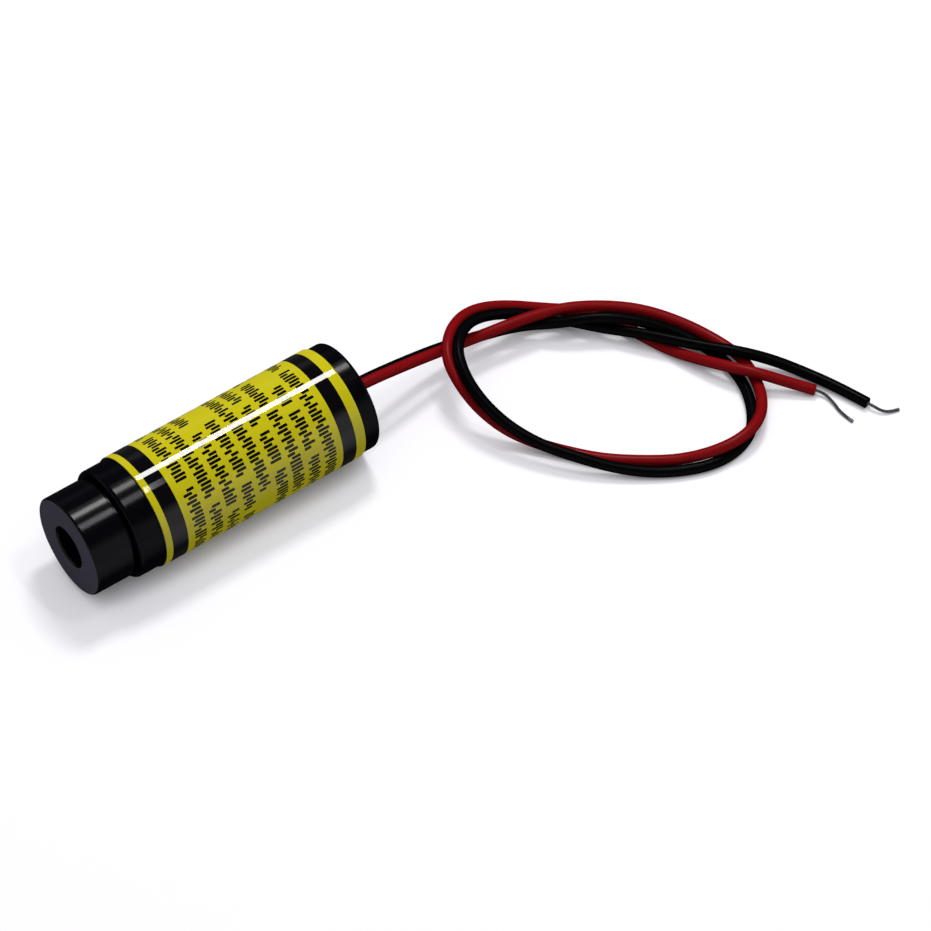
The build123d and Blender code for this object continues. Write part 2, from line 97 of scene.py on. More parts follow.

# %% [markdown]
# The two lead wires.
# Each is a soft insulated wire, 1.2 mm thick, that leaves the back of the barrel, drops to the table
# and lies there in one loose loop, crossing itself and its neighbour. A mesh tube or a curve could
# make it. A curve is best for a thing of one thickness: a NURBS spline of order 3 bends smoothly past
# a short list of points, and its bevel gives it its round section. The points were set over the
# photograph, with a height for each, so that every crossing has room above it.

# %% Route the wires
wire_radius = 0.6 * mm
curve_steps = 6
red_points = [
    (-14.0, 0.2, 6.9), (-18.5, 0.2, 6.9), (-23.8, 0.0, 5.9), (-29.0, -0.4, 4.4), (-34.0, -0.2, 3.6),
    (-38.7, 0.4, 3.5), (-43.2, 1.3, 3.2), (-47.09, 3.14, 2.7), (-50.47, 5.54, 2.1), (-53.14, 8.72, 1.3),
    (-54.96, 12.27, 0.7), (-55.8, 16.0, 0.65), (-55.2, 19.1, 0.65), (-53.8, 22.1, 1.2), (-51.5, 24.6, 2.0),
    (-48.6, 25.6, 2.1), (-45.28, 25.05, 1.6), (-42.01, 23.32, 0.85), (-38.8, 20.93, 0.65),
    (-35.74, 18.38, 0.65),
    (-33.2, 15.2, 0.65), (-31.1, 12.4, 0.9), (-29.4, 9.9, 1.8), (-28.3, 7.2, 3.1), (-27.9, 4.6, 4.5),
    (-28.3, 1.7, 5.55), (-30.2, -0.7, 5.85), (-33.1, -2.7, 4.8), (-36.1, -3.5, 3.5), (-39.5, -3.1, 2.0),
    (-43.0, -1.2, 0.9), (-45.9, 0.9, 0.65), (-47.88, 3.98, 0.65), (-49.12, 7.58, 0.65), (-50.24, 10.9, 0.7),
    (-51.57, 14.15, 1.4), (-53.1, 17.2, 2.1), (-54.9, 19.6, 2.2), (-57.1, 21.8, 1.35), (-59.2, 24.0, 0.65),
]
black_points = [
    (-14.0, -0.75, 6.1), (-18.5, -0.75, 6.1), (-23.9, -1.4, 4.6), (-29.8, -1.8, 3.0), (-34.6, -1.4, 2.0),
    (-39.1, -0.3, 1.7), (-42.3, 2.63, 2.68), (-45.89, 4.57, 3.1), (-49.19, 7.09, 2.6), (-52.08, 10.13, 1.5),
    (-53.77, 13.46, 0.65), (-54.1, 17.0, 0.65), (-53.4, 20.2, 0.65), (-51.9, 23.0, 0.65), (-49.9, 25.0, 0.65),
    (-46.9, 25.9, 0.65), (-43.6, 25.5, 0.65), (-39.6, 23.5, 0.65), (-36.2, 20.8, 1.1), (-33.4, 17.8, 1.9),
    (-31.0, 14.5, 2.4), (-29.4, 11.2, 3.2), (-28.5, 8.0, 4.4), (-28.4, 4.9, 5.65), (-29.4, 1.9, 6.4),
    (-31.6, -0.2, 6.3), (-34.3, -1.3, 5.3), (-37.8, -1.5, 3.4), (-41.4, -0.8, 1.35), (-44.1, 1.6, 0.8),
    (-46.0, 4.9, 1.5), (-48.04, 7.48, 1.87), (-50.34, 10.38, 2.0), (-52.78, 13.43, 2.0), (-55.15, 16.06, 2.1),
    (-57.7, 18.6, 1.4), (-59.7, 21.4, 0.7), (-61.3, 24.9, 0.65), (-62.5, 28.5, 0.65),
]
red_bare_points = [
    (-59.2, 24.0, 0.65), (-59.81, 24.63, 0.45), (-59.9, 26.2, 0.3), (-59.7, 27.7, 0.2), (-60.0, 29.3, 0.17),
]
black_bare_points = [
    (-62.5, 28.5, 0.65), (-62.75, 29.25, 0.65), (-63.2, 30.15, 0.4), (-64.0, 30.6, 0.22), (-64.9, 30.8, 0.17),
]


def smooth_curve(name, points):
    """A curve object whose one open spline bends smoothly past the points, which are in millimetres."""
    curve = bpy.data.curves.new(name, "CURVE")
    curve.dimensions = "3D"
    curve.resolution_u = curve_steps
    spline = curve.splines.new("NURBS")
    spline.points.add(len(points) - 1)
    for control, point in zip(spline.points, points):
        control.co = (point[0] * mm, point[1] * mm, point[2] * mm, 1.0)
    spline.order_u = 3
    spline.use_endpoint_u = True
    piece = bpy.data.objects.new(name, curve)
    bpy.context.scene.collection.objects.link(piece)
    return piece


def centreline(name, points, steps=curve_steps):
    """The smooth curve past these points, as a line of points in metres."""
    guide = smooth_curve(name + "_guide", points)
    guide.data.resolution_u = steps
    mesh = bpy.data.meshes.new_from_object(guide)
    line = [vertex.co.copy() for vertex in mesh.vertices]
    bpy.data.meshes.remove(mesh)
    bpy.data.objects.remove(guide)
    return line


def run_length(line):
    """The length of a line of points."""
    return sum((b - a).length for a, b in zip(line, line[1:]))


def make_insulation(name, points):
    """A wire's insulation: the smooth curve with a round section and flat cut ends.

    The wire's radius is set on the points and not as the bevel's depth: Blender adds the points' radius
    to a curve's box, and with the usual radius of 1, a metre here, the box would be far too large."""
    piece = smooth_curve(name, points)
    for control in piece.data.splines[0].points:
        control.radius = wire_radius
    piece.data.bevel_depth = 1.0
    piece.data.bevel_resolution = 7
    piece.data.use_fill_caps = True
    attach(piece, "root")
    return piece


red_lead = make_insulation("red_lead", red_points)
black_lead = make_insulation("black_lead", black_points)
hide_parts("red_wire")
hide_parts("black_wire")
red_length = run_length(centreline("red", red_points))
black_length = run_length(centreline("black", black_points))
print("red wire in mm:", round(red_length / mm, 1), "black wire in mm:", round(black_length / mm, 1))

# %% [markdown]
# The stripped ends.
# At the far ends the insulation is cut off and the conductor shows: a few thin tinned strands,
# twisted together. One rod would look like a pin, so each strand is its own thin tube that winds
# round the curve which the stripped end follows. At the tip the strands spread a little, as cut
# strands do.

# %% Twist the strands
strand_count = 7
strand_radius = 0.056 * mm
lay_radius = 0.112 * mm
lay_length = 2.6 * mm
tip_spread = 0.03 * mm
tube_sides = 8
strand_steps = 10


def ring_frames(line):
    """Two directions across the line at each of its points, carried along without a twist."""
    frames = []
    side = None
    for number, point in enumerate(line):
        ahead = line[min(number + 1, len(line) - 1)]
        behind = line[max(number - 1, 0)]
        along = (ahead - behind).normalized()
        if side is None:
            side = along.orthogonal().normalized()
        side = (side - along * side.dot(along)).normalized()
        frames.append((side.copy(), along.cross(side)))
    return frames


def add_tube(mesh, line, radius, sides):
    """Adds a closed round tube along a line of points to a bmesh."""
    rings = []
    for point, (side, up) in zip(line, ring_frames(line)):
        ring = []
        for step in range(sides):
            turn = 2 * math.pi * step / sides
            ring.append(mesh.verts.new(point + (side * math.cos(turn) + up * math.sin(turn)) * radius))
        rings.append(ring)
    for near, far in zip(rings, rings[1:]):
        for step in range(sides):
            after = (step + 1) % sides
            mesh.faces.new((near[step], near[after], far[after], far[step]))
    mesh.faces.new(list(reversed(rings[0])))
    mesh.faces.new(rings[-1])


def finish_mesh(name, mesh, smooth_angle=40.0):
    """Turns a bmesh into an object that rides with the module, smooth but for its sharp edges."""
    bmesh.ops.recalc_face_normals(mesh, faces=mesh.faces)
    data = bpy.data.meshes.new(name)
    mesh.to_mesh(data)
    mesh.free()
    piece = bpy.data.objects.new(name, data)
    bpy.context.scene.collection.objects.link(piece)
    data.shade_smooth()
    data.set_sharp_from_angle(angle=math.radians(smooth_angle))
    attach(piece, "root")
    return piece


def strand_lines(points):
    """The lines of the twisted strands: one in the middle and the others wound round it."""
    middle = centreline("strand", points, strand_steps)
    frames = ring_frames(middle)
    total = run_length(middle)
    lines = [middle]
    for strand in range(strand_count - 1):
        start_angle = 2 * math.pi * strand / (strand_count - 1)
        travelled = 0.0
        line = []
        for number, (point, (side, up)) in enumerate(zip(middle, frames)):
            if number:
                travelled += (point - middle[number - 1]).length
            turn = start_angle + 2 * math.pi * travelled / lay_length
            away = lay_radius + tip_spread * (travelled / total) ** 3
            out = (side * math.cos(turn) + up * math.sin(turn)) * away
            line.append(point + out)
        lines.append(line)
    return lines


def make_strands(name, points):
    """One stripped end: all its strands in one piece, kept on or above the table."""
    mesh = bmesh.new()
    for line in strand_lines(points):
        raised = [Vector((point.x, point.y, max(point.z, strand_radius))) for point in line]
        add_tube(mesh, raised, strand_radius, tube_sides)
    return finish_mesh(name, mesh)


red_strands = make_strands("red_strands", red_bare_points)
black_strands = make_strands("black_strands", black_bare_points)
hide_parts("red_bare_end")
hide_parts("black_bare_end")
print("strands in each stripped end:", strand_count)

# %% [markdown]
# The printed film under its clear sleeve.
# On the real barrel a thin yellow film, printed black, is wrapped once round the housing, and a clear
# sleeve is shrunk over it. A see-through tube over a second tube could show that, but a film this
# thin does nothing more than add gloss, so both are one closed ring here: its colour is the print,
# and its coat is the sleeve. Its outline still has the sleeve's rounded rims at both ends.

# %% Wrap the film
film_segments = 256
rim_steps = 5
film_rings = 24
film_thickness = sleeve_radius - housing_radius
inner_clearance = 0.005 * mm


def film_outline():
    """The ring's half section as places along the barrel and radii, from the inside round to the inside."""
    inner = housing_radius + inner_clearance
    rim = film_thickness - inner_clearance
    outline = [(sleeve_low.x, inner)]
    for step in range(1, rim_steps + 1):
        turn = math.radians(90.0 * step / rim_steps)
        outline.append((sleeve_low.x + rim * (1 - math.cos(turn)), inner + rim * math.sin(turn)))
    flat_low = sleeve_low.x + rim
    flat_high = sleeve_high.x - rim
    edge_loop = rim / 4
    for step in range(film_rings + 1):
        share = step / film_rings
        place = flat_low + edge_loop + (flat_high - flat_low - 2 * edge_loop) * share
        outline.append((place, sleeve_radius))
    for step in range(rim_steps, 0, -1):
        turn = math.radians(90.0 * step / rim_steps)
        outline.append((sleeve_high.x - rim * (1 - math.cos(turn)), inner + rim * math.sin(turn)))
    outline.append((sleeve_high.x, inner))
    return outline


def make_film():
    """The ring, spun from its outline."""
    mesh = bmesh.new()
    rings = []
    for segment in range(film_segments):
        turn = 2 * math.pi * segment / film_segments
        ring = []
        for x, radius in film_outline():
            ring.append(mesh.verts.new((x, radius * math.sin(turn), axis_z + radius * math.cos(turn))))
        rings.append(ring)
    for segment, ring in enumerate(rings):
        following = rings[(segment + 1) % film_segments]
        for place in range(len(ring)):
            after = (place + 1) % len(ring)
            mesh.faces.new((ring[place], ring[after], following[after], following[place]))
    return finish_mesh("printed_film", mesh, smooth_angle=50.0)


printed_film = make_film()
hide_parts("label", "label_print", "clear_sleeve")
print("film thickness with its sleeve in mm:", round(film_thickness / mm, 3))

# %% [markdown]
# Sums in a shader.
# Patterns such as print and turning marks are sums on a place. In the node editor each plus or times
# is a node of its own, which is hard to read. This small class wraps one socket and lets Python's own
# signs add those nodes. Numbers go through Math nodes. Colours and vectors go through Mix and Vector
# Math nodes, because a Math node would turn a colour grey.

# %% Wrap a socket
class Socket:
    """One socket of a material's nodes, which can be used in sums."""

    def __init__(self, tree, link=None):
        self.tree = tree
        self.link = link

    def node(self, kind, settings=None, output=0, **sockets):
        """Adds a node: its settings are set first, and then its sockets, by name, from values or links."""
        made = self.tree.nodes.new(kind)
        for name, value in (settings or {}).items():
            setattr(made, name, value)
        for name, value in sockets.items():
            self.feed(made, name, value)
        return Socket(self.tree, made.outputs[output])

    def feed(self, made, name, value):
        """Sets or links one input: in_3 is the input number 3, and Base_Color is the one named Base Color."""
        place = int(name[3:]) if name.startswith("in_") else name.replace("_", " ")
        target = made.inputs[place]
        if isinstance(value, Socket):
            self.tree.links.new(value.link, target)
        else:
            target.default_value = value

    def math(self, operation, *others):
        """A Math node with this socket first."""
        values = {"in_" + str(number + 1): other for number, other in enumerate(others)}
        return self.node("ShaderNodeMath", {"operation": operation}, in_0=self, **values)

    def combine(self, other, operation, flipped=False):
        """A sum of two operands, through the node that suits their kind."""
        kinds = {value.link.type for value in (self, other) if isinstance(value, Socket)}
        first, second = (other, self) if flipped else (self, other)
        if "RGBA" in kinds:
            first, second = (Socket.widened(value, 4) for value in (first, second))
            settings = {"data_type": "RGBA", "blend_type": operation}
            return self.node("ShaderNodeMix", settings, output=2, in_0=1.0, in_6=first, in_7=second)
        if "VECTOR" in kinds:
            first, second = (Socket.widened(value, 3) for value in (first, second))
            return self.node("ShaderNodeVectorMath", {"operation": operation}, in_0=first, in_1=second)
        return self.node("ShaderNodeMath", {"operation": operation}, in_0=first, in_1=second)

    @staticmethod
    def widened(value, size):
        """A plain number as a colour or vector; anything else as it is."""
        if isinstance(value, (int, float)):
            return (value, value, value, 1.0)[:size]
        return value

    def __add__(self, other):
        return self.combine(other, "ADD")

    def __radd__(self, other):
        return self.combine(other, "ADD", flipped=True)

    def __sub__(self, other):
        return self.combine(other, "SUBTRACT")

    def __rsub__(self, other):
        return self.combine(other, "SUBTRACT", flipped=True)

    def __mul__(self, other):
        return self.combine(other, "MULTIPLY")

    def __rmul__(self, other):
        return self.combine(other, "MULTIPLY", flipped=True)

    def __truediv__(self, other):
        return self.combine(other, "DIVIDE")

    def __rtruediv__(self, other):
        return self.combine(other, "DIVIDE", flipped=True)

    def __pow__(self, other):
        return self.math("POWER", other)

    def __gt__(self, other):
        return self.math("GREATER_THAN", other)

    def __lt__(self, other):
        return self.math("LESS_THAN", other)

    def floor(self):
        return self.math("FLOOR")

    def fraction(self):
        return self.math("FRACT")

    def between(self, low, high):
        """1 where the value lies between two limits, and 0 elsewhere."""
        return (self > low) * (self < high)

    def either(self, other):
        """The larger of two masks."""
        return self.math("MAXIMUM", other)

    def ramp(self, low, high, start=0.0, end=1.0):
        """Start below the first limit, end above the second, and a smooth way between them."""
        settings = {"interpolation_type": "SMOOTHSTEP"}
        return self.node("ShaderNodeMapRange", settings, in_0=self, in_1=low, in_2=high, in_3=start, in_4=end)

    def pick(self, zero, one):
        """A colour that goes from the first to the second as this mask goes from 0 to 1."""
        return self.node("ShaderNodeMix", {"data_type": "RGBA"}, output=2, in_0=self, in_6=zero, in_7=one)

    def split(self):
        """The three numbers of a vector or colour."""
        kind = "ShaderNodeSeparateXYZ" if self.link.type == "VECTOR" else "ShaderNodeSeparateColor"
        made = self.node(kind, in_0=self).link.node
        return [Socket(self.tree, out) for out in made.outputs]


print("a socket can be used in sums")

# %% [markdown]
# A material and the things that every finish asks for.
# Each finish below starts from one shader with fixed values, and then feeds it what changes over the
# surface. The places come from the object's own coordinates, which are the frame's, so a pattern
# stays where it is when the camera moves. Noise is asked for by the size of its grain in millimetres.
# The dark plastics and the film get their gloss from the shader's coat, which can fade towards a
# slant. A plain specular layer would mirror the white table along every lower edge, and the
# photograph's blacks stay deep there.

# %% Start a material
gloss_fades_from = 0.22
gloss_fades_to = 0.52
gloss_left = 0.06


def grey(level):
    """A colour with three equal parts."""
    return (level, level, level, 1.0)


def start_material(name, **fixed):
    """A material with one shader, the sockets' fixed values set, and the tree as a socket to work from."""
    material = bpy.data.materials.new(name)
    material.use_nodes = True
    tree = material.node_tree
    shader = tree.nodes["Principled BSDF"]
    for socket, value in fixed.items():
        shader.inputs[socket.replace("_", " ")].default_value = value
    return material, Socket(tree), shader


def place_of(paper):
    """The place on the object, in metres."""
    return paper.node("ShaderNodeTexCoord", output="Object")


def grain(paper, size, detail=3.0):
    """Noise between 0 and 1 whose grain has about this size in millimetres."""
    return paper.node("ShaderNodeTexNoise", in_0=place_of(paper), Scale=1.0 / (size * mm), Detail=detail)


def rough_up(paper, shader, height, depth):
    """Feeds the shader's normal from a height, where 1 stands for this depth in millimetres."""
    bump = paper.node("ShaderNodeBump", Strength=1.0, Distance=depth * mm, Height=height)
    paper.feed(shader, "Normal", bump)


def facing_gloss(paper, amount):
    """A gloss of this strength on what is seen square on, which is nearly gone at a slant."""
    slant = paper.node("ShaderNodeLayerWeight", output="Facing", Blend=0.5)
    return slant.ramp(gloss_fades_from, gloss_fades_to, amount, amount * gloss_left)


def dress(material, *pieces):
    """Gives pieces or parts, by object or by node name, this one material."""
    for piece in pieces:
        data = (nodes[piece] if isinstance(piece, str) else piece).data
        data.materials.clear()
        data.materials.append(material)


print("materials start from a shader, a place and a grain")

# %% [markdown]
# The black shell.
# Housing and nose are black plastic with a soft sheen: the lamps show on them as two blurred stripes,
# and they have the faint marks of turning. A mirror finish would be wrong, and so would a chalky one,
# so the coat is thin, a little rough, and broken up by the marks. They run round the barrel and, on
# the flat front, in circles. One value does both: the place along the axis plus the distance from it,
# because on the barrel only the first changes and on the flat front only the second. The front was
# turned flat and left matt, with no coat; its dark grey is painted sheen, standing in for the soft
# reflection of the black face. The collar is duller than the nose.

# %% Finish the black shell
turning_pitch = 0.16
marks_round = 1.5
streak_depth = 0.4
shell_gloss = 0.19
collar_share = 0.7
collar_start = (front_x - housing_high.x) / mm
collar_fade = 0.3
faced_depth = 0.02
dust_black = (0.012, 0.012, 0.016, 1.0)


def place_round_axis(paper):
    """Millimetres behind the front, millimetres from the axis, and the angle round it from the top."""
    x, y, z = place_of(paper).split()
    across = y / mm
    above = (z - axis_z) / mm
    behind = (front_x - x) / mm
    from_axis = (across * across + above * above) ** 0.5
    return behind, from_axis, across.math("ARCTAN2", above)


def make_shell_finish():
    """Black turned plastic."""
    material, paper, shader = start_material(
        "black_shell_plastic", Specular_IOR_Level=0.0, Coat_Roughness=0.17, Coat_IOR=1.5,
    )
    behind, from_axis, angle = place_round_axis(paper)
    tool = behind + from_axis
    turn_place = tool.node("ShaderNodeCombineXYZ", X=tool / turning_pitch, Y=angle * marks_round, Z=0.0)
    marks = paper.node("ShaderNodeTexNoise", in_0=turn_place, Scale=1.0, Detail=2.0)
    cloud = grain(paper, 2.2)
    dust = grain(paper, 0.12, detail=1.0).ramp(0.70, 0.78)
    base = cloud.pick((0.0012, 0.0011, 0.0022, 1.0), (0.0022, 0.0021, 0.0036, 1.0))
    # Painted sheen: the flat front is dark grey, with the turning circles in it, where the black face would
    # show a soft reflection.
    front_painted_sheen = marks.pick((0.062, 0.058, 0.077, 1.0), (0.084, 0.079, 0.103, 1.0))
    flat_front = behind < faced_depth
    paper.feed(shader, "Base Color", flat_front.pick(dust.pick(base, dust_black), front_painted_sheen))
    duller = behind.ramp(collar_start - collar_fade, collar_start, 1.0, collar_share)
    streaks = 1 - streak_depth / 2 + marks * streak_depth
    paper.feed(shader, "Coat Weight", facing_gloss(paper, shell_gloss) * duller * streaks * (1 - flat_front))
    paper.feed(shader, "Roughness", 0.4 + marks * 0.2)
    rough_up(paper, shader, marks + cloud * 0.5, 0.0015)
    return material


shell_finish = make_shell_finish()
dress(shell_finish, "housing", "front_cap")
print("black shell on:", "housing, front_cap")

# %% [markdown]
# The print.
# The film is yellow with a black band near each end, and between them nine rows of small black marks
# that run round the barrel: plain upright bars of mixed heights, in groups with gaps between them.
# They could be thin solids, but ink has no thickness to see, so they are the film's own colour.
# Nothing is painted by hand: rows, groups and bars come from whole and broken parts of two measures,
# the millimetres along the barrel and the millimetres round it. Each mark is a pair of bars, and random
# numbers for the mark and for its group say how high they stand and whether they are there.

# %% Finish the printed film
label_start = (front_x - label_high.x) / mm
label_end = (front_x - label_low.x) / mm
front_line = 0.75
front_band = 1.85
rear_band = 1.65
rear_line = 1.15
band_margin = 0.5
row_count = 9
row_shift = 3.7
mark_height = 1.4
mark_pitch = 0.86
left_bar_edges = (0.04, 0.40)
right_bar_edges = (0.53, 0.89)
highest_foot = 0.40
lowest_head = 0.55
marks_in_group = 5.0
group_seed = 7.0
marks_missing = 0.11
groups_missing = 0.09
rows_start = label_start + front_line + front_band + band_margin
rows_end = label_end - rear_line - rear_band - band_margin
row_pitch = (rows_end - rows_start) / row_count


def print_mask(paper, behind, angle):
    """1 where there is ink and 0 where the film is bare."""
    front_edge = label_start + front_line
    rear_edge = label_end - rear_line
    bands = behind.between(front_edge, front_edge + front_band)
    bands = bands.either(behind.between(rear_edge - rear_band, rear_edge))
    row_place = (behind - rows_start) / row_pitch
    row = row_place.floor()
    height = (row_place.fraction() * row_pitch - (row_pitch - mark_height) / 2) / mark_height
    round_place = angle * (sleeve_radius / mm) / mark_pitch + row * row_shift
    mark = round_place.floor()
    part = round_place.fraction()
    key = paper.node("ShaderNodeCombineXYZ", X=mark, Y=row, Z=0.0)
    chance, head, foot = paper.node("ShaderNodeTexWhiteNoise", output="Color", in_0=key).split()[:3]
    group = (mark / marks_in_group).floor()
    group_key = paper.node("ShaderNodeCombineXYZ", X=group, Y=row, Z=group_seed)
    group_chance = paper.node("ShaderNodeTexWhiteNoise", in_0=group_key)
    left_bar = part.between(*left_bar_edges) * (height > highest_foot * foot)
    right_bar = part.between(*right_bar_edges) * (height < lowest_head + (1 - lowest_head) * head)
    bars = left_bar.either(right_bar) * height.between(0.0, 1.0)
    bars = bars * (chance > marks_missing) * (group_chance > groups_missing)
    return bands.either(bars * behind.between(rows_start, rows_end))


seam_half_angle = 0.033
ink_black = (0.0022, 0.0018, 0.0030, 1.0)
bare_black = (0.0020, 0.0019, 0.0030, 1.0)


def make_film_finish():
    """Yellow film, black ink and the clear sleeve over both."""
    material, paper, shader = start_material(
        "printed_film_under_clear_sleeve", Coat_Roughness=0.035, Coat_IOR=1.33,
        Specular_IOR_Level=0.0, Roughness=0.5,
    )
    behind, _, angle = place_round_axis(paper)
    ink = print_mask(paper, behind, angle)
    cloud = grain(paper, 1.6)
    fine = grain(paper, 0.15, detail=1.0)
    yellow = (cloud * 0.7 + fine * 0.3).pick((0.53, 0.478, 0.006, 1.0), (0.59, 0.535, 0.010, 1.0))
    printed = ink.pick(yellow, ink_black)
    covered = behind.between(label_start, label_end)
    seam = angle.math("ABSOLUTE") > math.pi - seam_half_angle
    bare = (1 - covered).either(seam)
    paper.feed(shader, "Base Color", bare.pick(printed, bare_black))
    paper.feed(shader, "Coat Weight", facing_gloss(paper, 1.0))
    rough_up(paper, shader, grain(paper, 2.8, detail=1.0), 0.002)
    return material


film_finish = make_film_finish()
dress(film_finish, printed_film)
print("print rows:", row_count, "row pitch in mm:", round(row_pitch, 2))

# %% [markdown]
# The wires' insulation.
# Soft plastic, coloured right through, with a gentle sheen and handling marks. It is drawn through a
# die, so it has hardly any texture of its own. A little unevenness in the gloss keeps the long
# highlight on each wire from looking ruled.

# %% Finish the wires
scuff_depth = 0.6


def make_insulation_finish(name, dark, light, gloss):
    """Soft wire insulation."""
    material, paper, shader = start_material(
        name, Specular_IOR_Level=0.0, Coat_Roughness=0.30, Coat_IOR=1.5,
    )
    cloud = grain(paper, 3.0)
    scuff = grain(paper, 0.35, detail=4.0)
    paper.feed(shader, "Base Color", cloud.pick(dark, light))
    handled = 1 - scuff_depth / 2 + scuff * scuff_depth
    paper.feed(shader, "Coat Weight", facing_gloss(paper, gloss) * handled)
    paper.feed(shader, "Roughness", 0.4 + scuff * 0.2)
    rough_up(paper, shader, scuff + cloud, 0.003)
    return material


red_finish = make_insulation_finish(
    "red_insulation", dark=(0.18, 0.0025, 0.004, 1.0), light=(0.23, 0.004, 0.006, 1.0), gloss=0.11,
)
black_finish = make_insulation_finish(
    "black_insulation", dark=grey(0.0010), light=(0.0018, 0.0018, 0.0028, 1.0), gloss=0.06,
)
dress(red_finish, red_lead)
dress(black_finish, black_lead)
print("insulation on:", red_lead.name, black_lead.name)

# %% [markdown]
# Metals.
# The strands that lie outside have gone dull and dark grey. Solder and the tinned pieces on the board
# are bright and a little uneven, brass is turned, and the diode's can and leads have a thin gold
# plating. All of them are one idea: a metal's colour, a roughness that is broken up by a grain, and a
# slight relief. The colour, the roughness and the grain's size make the difference.

# %% Finish the metals
def make_metal(name, dark, light, roughness, size, relief):
    """A bare metal with a grain of this size and a relief of this depth, both in millimetres."""
    material, paper, shader = start_material(name, Metallic=1.0)
    speck = grain(paper, size, detail=4.0)
    cloud = grain(paper, size * 8)
    paper.feed(shader, "Base Color", cloud.pick(dark, light))
    paper.feed(shader, "Roughness", roughness + speck * 0.18)
    rough_up(paper, shader, speck, relief)
    return material


tin_finish = make_metal(
    "tinned_strand", (0.09, 0.09, 0.10, 1.0), (0.17, 0.17, 0.18, 1.0),
    roughness=0.36, size=0.05, relief=0.004,
)
solder_finish = make_metal(
    "solder", (0.55, 0.56, 0.58, 1.0), (0.75, 0.76, 0.78, 1.0),
    roughness=0.18, size=0.2, relief=0.01,
)
brass_finish = make_metal(
    "turned_brass", (0.55, 0.38, 0.13, 1.0), (0.78, 0.58, 0.26, 1.0),
    roughness=0.2, size=0.1, relief=0.004,
)
plate_finish = make_metal(
    "gold_plating", (0.72, 0.52, 0.22, 1.0), (0.86, 0.68, 0.36, 1.0),
    roughness=0.14, size=0.08, relief=0.002,
)
spring_finish = make_metal(
    "spring_steel", (0.42, 0.42, 0.43, 1.0), (0.60, 0.60, 0.61, 1.0),
    roughness=0.22, size=0.06, relief=0.002,
)
dress(tin_finish, red_strands, black_strands)
dress(solder_finish, "solder_joints", "red_board_end", "black_board_end", "chip_legs")
dress(brass_finish, "diode_holder", "lens_cell", "lens_retainer", "trimmer_rotor", "laser_chip")
dress(plate_finish, "diode_base", "diode_can", "diode_leads")
dress(spring_finish, "focus_spring")
metals = (tin_finish, solder_finish, brass_finish, plate_finish, spring_finish)
print("metals:", [metal.name for metal in metals])

# %% [markdown]
# Glass, plastic and ceramic inside.
# The lens and the diode's window are clear, with the faint violet of a coating at a slant. The board
# is green lacquer over glass cloth, whose weave shows as a fine square relief. The small parts on it
# are matt. Most of this is hidden in the finished module, but it is there when it is opened.

# %% Finish the inner parts
weave_pitch = 0.5 * mm


def make_lens_glass():
    """Coated optical glass."""
    material, paper, shader = start_material(
        "coated_glass", Transmission_Weight=1.0, IOR=1.52, Coat_Weight=0.5,
    )
    edge = paper.node("ShaderNodeLayerWeight", output="Facing", Blend=0.4)
    smear = grain(paper, 1.5)
    paper.feed(shader, "Base Color", edge.pick((0.96, 0.98, 0.97, 1.0), (0.70, 0.62, 0.86, 1.0)))
    paper.feed(shader, "Roughness", smear * 0.04)
    return material


def make_matt(name, dark, light, roughness, size, relief):
    """A matt body with a grain of this size in millimetres."""
    material, paper, shader = start_material(name, Specular_IOR_Level=0.35)
    speck = grain(paper, size, detail=4.0)
    paper.feed(shader, "Base Color", speck.pick(dark, light))
    paper.feed(shader, "Roughness", roughness + speck * 0.15)
    rough_up(paper, shader, speck, relief)
    return material


def make_board_lacquer():
    """Green lacquer over woven glass cloth."""
    material, paper, shader = start_material("board_lacquer", Specular_IOR_Level=0.5)
    x, y, _ = place_of(paper).split()
    weave = (x / weave_pitch * math.tau).math("SINE") * (y / weave_pitch * math.tau).math("SINE")
    tone = weave * 0.25 + 0.5 + grain(paper, 1.2) * 0.3
    paper.feed(shader, "Base Color", tone.pick((0.010, 0.085, 0.030, 1.0), (0.025, 0.160, 0.060, 1.0)))
    paper.feed(shader, "Roughness", 0.28 + weave * 0.05)
    rough_up(paper, shader, weave, 0.006)
    return material


lens_finish = make_lens_glass()
seal_finish = make_matt(
    "seal_glass", (0.10, 0.15, 0.12, 1.0), (0.18, 0.24, 0.20, 1.0),
    roughness=0.1, size=0.3, relief=0.002,
)
moulded_finish = make_matt(
    "moulded_black", grey(0.010), grey(0.022),
    roughness=0.5, size=0.15, relief=0.01,
)
resistor_finish = make_matt(
    "resistor_body", (0.012, 0.012, 0.018, 1.0), (0.03, 0.03, 0.04, 1.0),
    roughness=0.35, size=0.1, relief=0.005,
)
ceramic_finish = make_matt(
    "fired_ceramic", (0.36, 0.24, 0.12, 1.0), (0.55, 0.40, 0.23, 1.0),
    roughness=0.5, size=0.2, relief=0.008,
)
dress(lens_finish, "collimating_lens", "diode_window")
dress(seal_finish, "lead_seals")
dress(moulded_finish, "rear_plug", "driver_chip")
dress(resistor_finish, "resistors")
dress(ceramic_finish, "capacitors", "power_trimmer")
dress(make_board_lacquer(), "driver_board")
undressed = [name for name, node in nodes.items() if not node.hide_render and not node.data.materials]
print("inner parts finished, parts without a finish:", undressed)

# %% [markdown]
# The table.
# The photograph's ground is pure white with a soft, pale, lilac-grey shadow close to the module. A
# large white sheet lit at a plain level would have the right white but shadows that are far too deep.
# So what the eye and the reflections see is partly the sheet's own even white and partly the light
# that falls on it. That white fades where the sheet is covered from close by: a painted shade, which
# draws the dark line under the barrel and the wires. The light thrown back on the module is that of a
# plain sheet.
# The sheet reaches far past the module on all sides.

# %% Lay the table
table_half = 1.5
# The sheet's own white is slightly lilac, which tints its shade lilac-grey.
own_white = (0.415, 0.410, 0.430, 1.0)
shade_reach = 4.0 * mm
shade_samples = 16
shut_in = 0.10
open_enough = 0.75
white_left_in_painted_shade = 0.15


